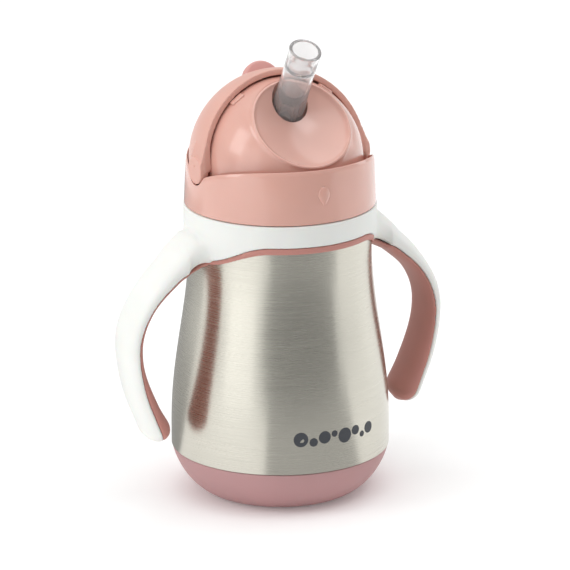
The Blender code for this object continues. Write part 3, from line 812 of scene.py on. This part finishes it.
@dataclass
class Lid:
    """Screw lid: skirt and gutter, dome with the spout's dish, and the index drop on its front."""

    palette: Palette
    pivot: float = 133.2
    skirt: float = 37.5
    skirt_top: float = 36.7
    low: float = 116.7
    gutter: float = 35.9
    gutter_z: float = 126.9
    deck: float = 125.5
    dome: float = 32.4
    dome_wall: float = 2.2
    dish_tilt: float = 45.0
    dish: float = 19.7
    dish_depth: float = 4.4
    spout_base: tuple[float, float] = (-8.4, 158.3)
    spout_lean: float = 29.5
    hole: float = 7.4
    notch: float = 6.0
    rim_top: float = 137.6
    rim_drop: float = 8.8
    rim_power: float = 3.3

    def rim(self, point: Vector) -> float:
        """Height of the rim in millimetres: high at front and back, lower at the hood's ears."""
        return self.rim_top - self.rim_drop * (from_front(point) / 90) ** self.rim_power

    def spout_place(self) -> Matrix:
        """Where the spout's base is, with Z up along the spout."""
        y, z = self.spout_base
        lean = Matrix.Rotation(math.radians(self.spout_lean), 4, "X")
        return Matrix.Translation((0, y * MM, z * MM)) @ lean

    def dish_place(self) -> Matrix:
        """The dome's centre, with Z out through the middle of the dish."""
        tilt = Matrix.Rotation(math.radians(self.dish_tilt), 4, "X")
        return Matrix.Translation((0, 0, self.pivot * MM)) @ tilt

    def dish_curve(self, sink: float) -> tuple[float, float]:
        """Radius of the dish's hollow, and how far its centre is from the dome's."""
        radius = (self.dish ** 2 + self.dish_depth ** 2) / (2 * self.dish_depth)
        rim = math.sqrt(self.dome ** 2 - self.dish ** 2)
        return radius + sink, rim - self.dish_depth + radius

    def dome_solid(self) -> bmesh.types.BMesh:
        """Dome turned about the dish's own axis, so the dish's edge is evenly rounded."""
        radius, away = self.dish_curve(0)
        rim = math.sqrt(self.dome ** 2 - self.dish ** 2)
        edge = math.degrees(math.asin((self.dish - 0.4) / radius))
        hollow = [(x, y, 0) for x, y, _ in arc((0, away), radius, -90, -90 + edge, 20)]
        start = math.degrees(math.atan2(rim, self.dish))
        ball = arc((0, 0), self.dome, start - 1.6, -86, 70)
        bead = [(self.dish - 0.4, rim + 0.5, 0.25), (self.dish + 0.35, rim + 0.3, 0.3)]
        outline = [(0, hollow[0][1], 0), *hollow[1:-1], *bead, *ball, (0, -self.dome, 0)]
        bm = lathe(rounded(outline, closed=False, count=6))
        bm.transform(self.dish_place())
        whole = bm.verts[:] + bm.edges[:] + bm.faces[:]
        cut = bmesh.ops.bisect_plane(bm, geom=whole, plane_co=(0, 0, (self.gutter_z - 0.8) * MM),
                                     plane_no=(0, 0, -1), clear_outer=True)["geom_cut"]
        bmesh.ops.holes_fill(bm, edges=[e for e in cut if isinstance(e, bmesh.types.BMEdge)], sides=0)
        bmesh.ops.recalc_face_normals(bm, faces=bm.faces)
        return bm

    def shell(self) -> bpy.types.Object:
        """Skirt, gutter and dome as one hollow moulding, with its holes and notches."""
        nominal = 137.0
        outline = [(0, self.gutter_z, 0), (self.gutter, self.gutter_z, 0.8), (self.gutter, nominal, 0.12),
                   (self.gutter + 0.3, nominal, 0.3), (self.skirt_top + 0.02, nominal - 1.3, 0.9),
                   (self.skirt, self.low, 0.4), (35.6, self.low, 0.3),
                   (35.5, self.deck, 0.4), (0, self.deck, 0)]
        bm = lathe(rounded(outline, closed=False))

        def raise_rim(point: Vector) -> Vector:
            if point.xy.length > (self.gutter - 0.1) * MM and point.z > (nominal - 2.6) * MM:
                point.z += (self.rim(point) - nominal) * MM
            return point

        lid = raw("lid_moulding", bend(bm, raise_rim))
        combine(lid, [self.dome_solid()], "UNION", 30)
        centre = Vector((0, 0, self.pivot * MM))
        inside = raw("dome_hollow", sphere(self.dome - self.dome_wall, centre))
        radius, away = self.dish_curve(self.dome_wall)
        spout = self.spout_place()
        combine(inside, [sphere(radius, self.dish_place() @ Vector((0, 0, away * MM)), steps=128),
                         rod(11.3, -14, 20, spout)])
        step = lid.modifiers.new("hollow", "BOOLEAN")
        step.operation, step.solver, step.object = "DIFFERENCE", "EXACT", inside
        settle(lid, 30)
        bpy.data.objects.remove(inside)

        pin = Matrix.Translation(centre) @ Matrix.Rotation(math.pi / 2, 4, "Y")
        vent = Matrix.Translation(centre) @ Matrix.Rotation(math.radians(-40), 4, "X")
        tools = [rod(9.1, -30, -8.2, spout), rod(self.hole, -30, 20, spout, 96), rod(2.4, 25, 38, vent, 32),
                 rod(1.8, -34, 34, pin, 32)]
        for side in (-1, 1):
            ends = sorted((side * 33.2, side * 41))
            tools.append(rod(self.notch, *ends, pin))
            tools.append(block((ends[0] * MM, -self.notch * MM, self.pivot * MM),
                               (ends[1] * MM, self.notch * MM, (self.pivot + 20) * MM)))
        return combine(lid, tools, "DIFFERENCE", 30)

    def inner_thread(self) -> None:
        """Thread on the inside of the skirt."""
        root, crest = 35.75, 34.65
        section = [(root, 0.9), (crest, 0.3), (crest, -0.3), (root, -0.9)]
        ridge = raw("lid_thread", thread(section, self.low + 1.6, 1.25))
        finish(ridge, self.palette.pink, Body.LID, Slot.PINK)

    def index_drop(self) -> None:
        """Small raised drop at the front of the skirt, that shows where to drink."""
        bm = bmesh.new()
        bmesh.ops.create_uvsphere(bm, u_segments=48, v_segments=24, radius=1)
        half, tall, proud, height = 2.5, 3.6, 0.9, 127.6

        def droplet(point: Vector) -> Vector:
            pinch = 1.0 if point.y > 0 else (max(1 + point.y, 0.0) / (1 - point.y)) ** 0.3
            x = half * point.x * pinch
            z = height + tall * point.y * (1.0 if point.y > 0 else 1.12)
            share = (z - self.low) / 24
            r = self.skirt + (self.skirt_top - self.skirt) * share - 0.12 + proud * point.z
            turn = x / r
            return Vector((r * math.sin(turn), -r * math.cos(turn), z)) * MM

        bend(bm, droplet)
        bmesh.ops.recalc_face_normals(bm, faces=bm.faces)
        finish(raw("index_drop", bm), self.palette.pink, Body.LID, Slot.PINK)

    def guide_pads(self) -> None:
        """Two low pads on the dome that steady the hood's edge."""
        forward, apart, sunk = math.radians(2.4), math.radians(36), 0.15
        for side, word in ((-1, "left"), (1, "right")):
            turn = (Matrix.Translation((0, 0, self.pivot * MM)) @ Matrix.Rotation(forward, 4, "X")
                    @ Matrix.Rotation(side * apart, 4, "Y"))
            bm = bmesh.new()
            bmesh.ops.create_cube(bm, size=1)
            bm.transform(Matrix.Diagonal((6 * MM, 3.2 * MM, 1.5 * MM, 1)))
            bm.transform(turn @ Matrix.Translation((0, 0, (self.dome - sunk) * MM)))
            pad = soften(raw(f"guide_pad_{word}", bm), 0.5)
            finish(pad, self.palette.pink, Body.LID, Slot.PINK)

    def build(self) -> None:
        """Build the lid and what is moulded on it."""
        finish(self.shell(), self.palette.pink, Body.LID, Slot.PINK, "lid_body")
        self.inner_thread()
        self.index_drop()
        self.guide_pads()


@dataclass
class Hood:
    """Quarter-ball hood with its ears and thumb tab."""

    palette: Palette
    lid: Lid
    outer: float = 35.6
    wall: float = 2.4
    front: float = -5.7
    tilt: float = 0.2
    ear: float = 5.4
    ear_face: float = 36.95

    def shell(self) -> bpy.types.Object:
        """Cut a ball, thicken it inwards, add the ears, and round every edge."""
        bm = sphere(self.outer, Vector((0, 0, 0)), Matrix.Rotation(math.pi / 2, 4, "Y"), 160)
        sag = math.radians(5)
        cuts = ((Vector((0, self.front * MM, 0)), Vector((0, -1, self.tilt))),
                (Vector((0, 0, -0.4 * MM)), Vector((0, -math.sin(sag), -math.cos(sag)))))
        for point, away in cuts:
            bmesh.ops.bisect_plane(bm, geom=bm.verts[:] + bm.edges[:] + bm.faces[:], dist=0.001 * MM,
                                   plane_co=point, plane_no=away, clear_outer=True)
        bm.transform(Matrix.Translation((0, 0, self.lid.pivot * MM)))
        hood = raw("hood_shell", bm)
        wall = hood.modifiers.new("wall", "SOLIDIFY")
        wall.thickness, wall.offset = self.wall * MM, -1
        settle(hood)
        pin = Matrix.Translation((0, 0, self.lid.pivot * MM)) @ Matrix.Rotation(math.pi / 2, 4, "Y")
        for side in (-1, 1):
            ear = rod(self.ear, *sorted((side * 33.6, side * self.ear_face)), pin)
            combine(hood, [ear, self.strap(side)], "UNION")
        melt(hood, 0.4, 3)
        dimples = [sphere(0.45, Vector((side * (self.ear_face + 0.1) * MM, 0, (self.lid.pivot + 1.5) * MM)),
                          steps=24) for side in (-1, 1)]
        return combine(hood, dimples)

    def strap(self, side: int) -> bmesh.types.BMesh:
        """Wedge that carries an ear's outer face up into the ball."""
        inside, half = 32.0, self.ear - 0.25
        faces = [(inside, 0.0), (self.ear_face, 0.0), (self.ear_face, 2.2), (34.3, 9.6), (inside, 9.6)]
        wedge = skin([[Vector((side * x, y, z)) * MM for x, z in faces] for y in (-half, half)])
        bmesh.ops.triangulate(wedge, faces=wedge.faces)

        def behind_front(point: Vector) -> Vector:
            point.y = max(point.y, (self.front + 0.15) * MM + self.tilt * point.z)
            return point + Vector((0, 0, self.lid.pivot * MM))

        return bend(wedge, behind_front)

    def tab(self) -> bpy.types.Object:
        """Half-round thumb tab, with a dished back."""
        back = math.radians(-30)
        place = (Matrix.Translation((0, 0, self.lid.pivot * MM)) @ Matrix.Rotation(back, 4, "X")
                 @ Matrix.Translation((0, 0, (39.8 - 8.0) * MM)) @ Matrix.Rotation(math.pi / 2, 4, "X"))
        tab = raw("thumb_tab", rod(8.0, -2.1, 2.1, place, 96))
        soften(tab, 1.2, 5)
        return combine(tab, [sphere(self.outer - 0.1, Vector((0, 0, self.lid.pivot * MM)))])

    def build(self) -> None:
        """Build the hood and its tab."""
        finish(self.shell(), self.palette.hood, Body.HOOD, Slot.PINK, "hood")
        finish(self.tab(), self.palette.tab, Body.HOOD, Slot.MAUVE, "hood_tab")


@dataclass
class Drinking:
    """Soft spout with its bite valve, the straw, and the weight that keeps its end in the drink."""

    palette: Palette
    lid: Lid
    outer: float = 6.2
    wall: float = 1.2
    length: float = 26.3
    bore: float = 2.75
    tail: float = -18.0
    straw: float = 3.75

    def spout(self) -> None:
        """Clear spout, built standing; the hood folds the real one down, bending it at its base."""
        inner = self.outer - self.wall
        top = self.length
        outline = [(self.outer + 0.15, top, 0.5), (self.outer + 0.1, top - 2.2, 0.4),
                   (self.outer - 0.1, top - 3.4, 0.6), (self.outer, 4, 1), (6.5, -0.5, 0.8),
                   (6.5, -8.5, 0.3), (8.8, -8.5, 0.3),
                   (8.8, -10.2, 0.3), (4.6, -10.2, 0.5), (4.6, self.tail, 0.3), (self.bore, self.tail, 0.3),
                   (self.bore, 1, 1), (inner, 6.5, 1.5), (inner, 17.0, 0.6), (0.5, 12.6, 0.2),
                   (0.5, 13.5, 0.2), (inner, 18.2, 0.6), (inner, top, 0.4)]
        bm = lathe(rounded(outline), 96)
        bm.transform(self.lid.spout_place())
        spout = finish(raw("soft_spout", bm), self.palette.clear, None, Slot.CLEAR, "spout")
        y, z = self.lid.spout_base
        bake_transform(spout)

    def tube(self) -> None:
        """Clear straw from the stub down to the weight, as a pipe with a real bore."""
        low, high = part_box("straw_tube")
        place = self.lid.spout_place()
        down = place.to_3x3() @ Vector((0, 0, -1))
        start = place @ Vector((0, 0, (self.tail - 1.8) * MM))
        end = Vector((0, high.y - self.straw * MM, 118 * MM))
        elbow, hang = start + down * 11 * MM, end + Vector((0, 0, 10 * MM))
        route = []
        for i in range(17):
            t = i / 16
            s = 1 - t
            route.append(s ** 3 * start + 3 * s * s * t * elbow + 3 * s * t * t * hang + t ** 3 * end)
        route += [Vector((0, end.y, end.z + (low.z - end.z) * i / 12)) for i in range(1, 13)]
        sections = []
        for radius in (self.straw, self.bore):
            rows = []
            for i, spot in enumerate(route):
                along = (route[min(i + 1, len(route) - 1)] - route[max(i - 1, 0)]).normalized()
                turn = Vector((0, 0, -1)).rotation_difference(along)
                ring = [turn @ Vector((math.cos(a), math.sin(a), 0)) for a in
                        (math.tau * k / 40 for k in range(40))]
                rows.append([spot + p * radius * MM for p in ring])
            sections += rows if radius == self.straw else rows[::-1]
        pipe = raw("clear_straw", skin(sections, endless=True))
        finish(pipe, self.palette.clear, Body.STRAW, Slot.CLEAR, "straw_tube")

    def weight(self) -> None:
        """Two-part shell round the steel ring, with slots' rims softened."""
        low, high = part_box("weight_core")
        at = Matrix.Translation((low + high) / 2)
        collar = self.straw + 0.3
        upper = [(5.3, 13, 0.4), (5.3, 8.6, 0.8), (7.6, 7.4, 1.2), (9.1, 5.2, 1.2), (9.6, 2, 1.0),
                 (9.6, 0.15, 0.25), (8.3, 0.15, 0), (8.3, 4.8, 0.3), (collar, 5.8, 0.2), (collar, 13, 0.2)]
        lower = [(9.6, -0.15, 0.25), (9.6, -2, 1.0), (9.1, -5.2, 1.2), (7.2, -7.8, 1.2), (4, -9, 0.8),
                 (2, -9, 0.4), (2, -6, 0.2), (8.3, -4.8, 0.3), (8.3, -0.15, 0)]
        for word, outline in (("top", upper), ("bottom", lower)):
            bm = lathe(rounded(outline), 96)
            bm.transform(at)
            finish(raw(f"weight_cover_{word}", bm), self.palette.milky, Body.STRAW, Slot.RUBBER,
                   f"weight_shell_{word}")
        core = [(8.0, 4.5, 0.6), (8.0, -4.5, 0.6), (4.6, -4.5, 0.6), (4.6, 4.5, 0.6)]
        bm = lathe(rounded(core), 96)
        bm.transform(at)
        finish(raw("weight_ring", bm), self.palette.bright, Body.STRAW, Slot.BRIGHT, "weight_core")

    def build(self) -> None:
        """Build the spout, the straw and its weight."""
        self.spout()
        self.tube()
        self.weight()


def dress_frame(palette: Palette) -> None:
    """Give the CAD nodes that stay their finishes."""
    finishes = {
        "shell_bottom": palette.bright, "vacuum_cap": palette.bright, "lid_seal": palette.milky,
        "vent_valve": palette.milky, "spout_retainer": palette.pink, "straw_connector": palette.milky,
        "pivot_pin_left": palette.hood, "pivot_pin_right": palette.hood,
    }
    for name, material in finishes.items():
        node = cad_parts[name]
        node.data.materials.clear()
        node.data.materials.append(material)


# Studio


@dataclass
class Studio:
    """Pale floor, soft lights, dark side cards that shade the steel, and the camera."""

    azimuth: float = -27.0
    elevation: float = 17.0
    distance: float = 1.6
    lens: float = 258.0

    def direction(self, azimuth: float, elevation: float) -> Vector:
        """Unit vector from the cup towards a viewer at those angles in degrees."""
        a, e = math.radians(azimuth), math.radians(elevation)
        return Vector((math.sin(a) * math.cos(e), -math.cos(a) * math.cos(e), math.sin(e)))

    def camera(self) -> None:
        """Long lens, aimed so that the cup sits as it should in a square picture."""
        data = bpy.data.cameras.new("camera")
        data.lens, data.sensor_width = self.lens, 36.0
        data.clip_end = 50
        camera = bpy.data.objects.new("camera", data)
        right = Vector((math.cos(math.radians(self.azimuth)), math.sin(math.radians(self.azimuth)), 0))
        back = self.direction(self.azimuth, self.elevation)
        aim = Vector((0, 0, 82.0 * MM)) + right * 1.9 * MM
        camera.location = aim + back * self.distance
        camera.rotation_euler = back.to_track_quat("Z", "Y").to_euler()
        bpy.context.scene.collection.objects.link(camera)
        bpy.context.scene.camera = camera

    def floor(self) -> None:
        """Wide pale floor."""
        bm = bmesh.new()
        bmesh.ops.create_grid(bm, x_segments=1, y_segments=1, size=6)
        bm.transform(Matrix.Translation((0, 0, -0.0002)))
        floor = raw("floor", bm)
        nodes = Nodes("pale_floor")
        nodes.tint(nodes.noise((3, 3, 3), 2.0), linear((250, 250, 250)), linear((252, 252, 252)))
        nodes.set(roughness=0.7, emission_color=(1, 1, 1, 1), emission_strength=0.1)
        floor.data.materials.append(nodes.material)

    def light(self, name: str, azimuth: float, elevation: float, away: float, size: tuple[float, float],
              power: float) -> None:
        """Soft box at angles about the camera's own azimuth, turned to the cup."""
        data = bpy.data.lights.new(name, "AREA")
        data.shape, data.size, data.size_y, data.energy = "RECTANGLE", *size, power
        lamp = bpy.data.objects.new(name, data)
        toward = self.direction(self.azimuth + azimuth, elevation)
        lamp.location = Vector((0, 0, 0.09)) + toward * away
        lamp.rotation_euler = toward.to_track_quat("Z", "Y").to_euler()
        bpy.context.scene.collection.objects.link(lamp)

    def sun(self, power: float) -> None:
        """Wide soft light from straight above, that evens out the floor."""
        data = bpy.data.lights.new("overhead", "SUN")
        data.energy, data.angle = power, math.radians(70)
        bpy.context.scene.collection.objects.link(bpy.data.objects.new("overhead", data))

    def mat(self, name: str, azimuth: float, reach: tuple[float, float], half: float, grey: float) -> None:
        """Sector of the floor, seen in reflections only, whose tone lowers what the steel mirrors."""
        bm = bmesh.new()
        turns = [math.radians(self.azimuth + azimuth - half + 2 * half * i / 24) for i in range(25)]
        rows = [[bm.verts.new((r * math.sin(a), -r * math.cos(a), 0.0004)) for a in turns] for r in reach]
        for i in range(24):
            bm.faces.new((rows[0][i], rows[1][i], rows[1][i + 1], rows[0][i + 1]))
        bmesh.ops.recalc_face_normals(bm, faces=bm.faces)
        self.dim(raw(name, bm), grey)

    def dim(self, sheet: bpy.types.Object, grey: float) -> None:
        """Paint a sheet one dull grey, and hide it from all but mirrored reflections."""
        nodes = Nodes(sheet.name)
        nodes.set(roughness=0.9, base_color=(grey, grey, grey, 1))
        sheet.data.materials.append(nodes.material)
        sheet.visible_camera = sheet.visible_diffuse = sheet.visible_shadow = False
        sheet.visible_transmission = False

    def card(self, name: str, azimuth: float, away: float, width: float, height: float, grey: float,
             soft: bool = False) -> None:
        """Upright card for reflections; a soft one shades matt surfaces as well."""
        bm = bmesh.new()
        bmesh.ops.create_grid(bm, x_segments=1, y_segments=1, size=0.5)
        toward = self.direction(self.azimuth + azimuth, 0)
        turn = toward.to_track_quat("Z", "Y").to_matrix().to_4x4()
        bm.transform(Matrix.Translation(toward * away + Vector((0, 0, height / 2))) @ turn
                     @ Matrix.Diagonal((width, height, 1, 1)))
        sheet = raw(name, bm)
        self.dim(sheet, grey)
        sheet.visible_diffuse = soft

    def build(self) -> None:
        """Set up everything round the cup."""
        scene = bpy.context.scene
        scene.view_settings.view_transform = "Standard"
        world = bpy.data.worlds.new("studio")
        world.use_nodes = True
        world.node_tree.nodes["Background"].inputs["Color"].default_value = (1, 1, 1, 1)
        world.node_tree.nodes["Background"].inputs["Strength"].default_value = 0.6
        scene.world = world
        self.camera()
        self.floor()
        self.sun(1.3)
        self.light("key", -67, 29, 1.2, (0.45, 0.6), 2.2)
        self.light("panel", -45, 8, 1.0, (0.62, 0.7), 1.1)
        self.light("spark", 66, 62, 1.2, (0.3, 0.3), 0.6)
        self.light("rim", 118, 16, 1.2, (0.4, 0.6), 1.0)
        self.card("shade_card", 23, 0.5, 0.90, 0.60, 0.28, soft=True)
        self.mat("shade_mat", 30, (0.06, 0.5), 42, 0.50)
        self.mat("back_mat", -142, (0.06, 0.5), 38, 0.35)


def main() -> None:
    """Build the cup, piece by piece, and its studio."""
    logging.basicConfig(level=logging.INFO, format="%(name)s %(message)s")
    palette = mix_palette()
    Studio().build()
    SteelCup(palette).build()
    HandleRing(palette).build()
    lid = Lid(palette)
    lid.build()
    Hood(palette, lid).build()
    Drinking(palette, lid).build()
    dress_frame(palette)
    bpy.context.view_layer.update()


if __name__ == "__main__":
    main()
